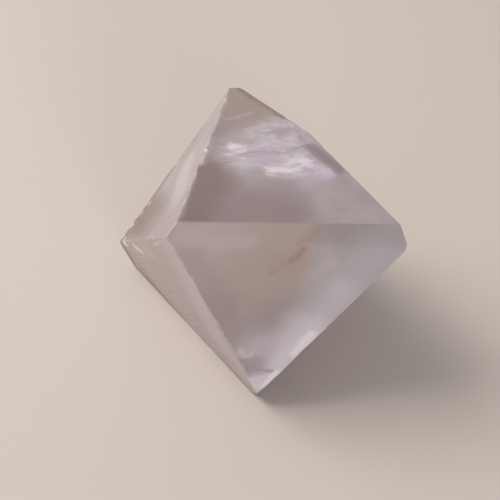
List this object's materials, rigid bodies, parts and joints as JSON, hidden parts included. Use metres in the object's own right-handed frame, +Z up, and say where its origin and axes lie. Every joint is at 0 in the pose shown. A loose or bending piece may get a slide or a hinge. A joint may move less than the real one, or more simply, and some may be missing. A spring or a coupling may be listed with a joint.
{
  "type": "fluorite octahedron",
  "caption": "Pale lavender, see-through fluorite crystal, cleaved to an octahedron with chipped corners and edges, lying on one flat face.",
  "frame": {"origin": "centre of the bounding box, on the plane of the face that the crystal lies on", "axes": "+Z up, square to the resting face; +X along the longest extent, towards the right corner; -Y towards the front corner"},
  "size_m": [0.0352, 0.0292, 0.0264],
  "materials": {
    "fluorite": "clear to faintly hazy pale lavender cleavage faces, pearly where cracked inside"
  },
  "bodies": {
    "root": {"fluorite_octahedron": "fluorite"}
  },
  "joints": []
}
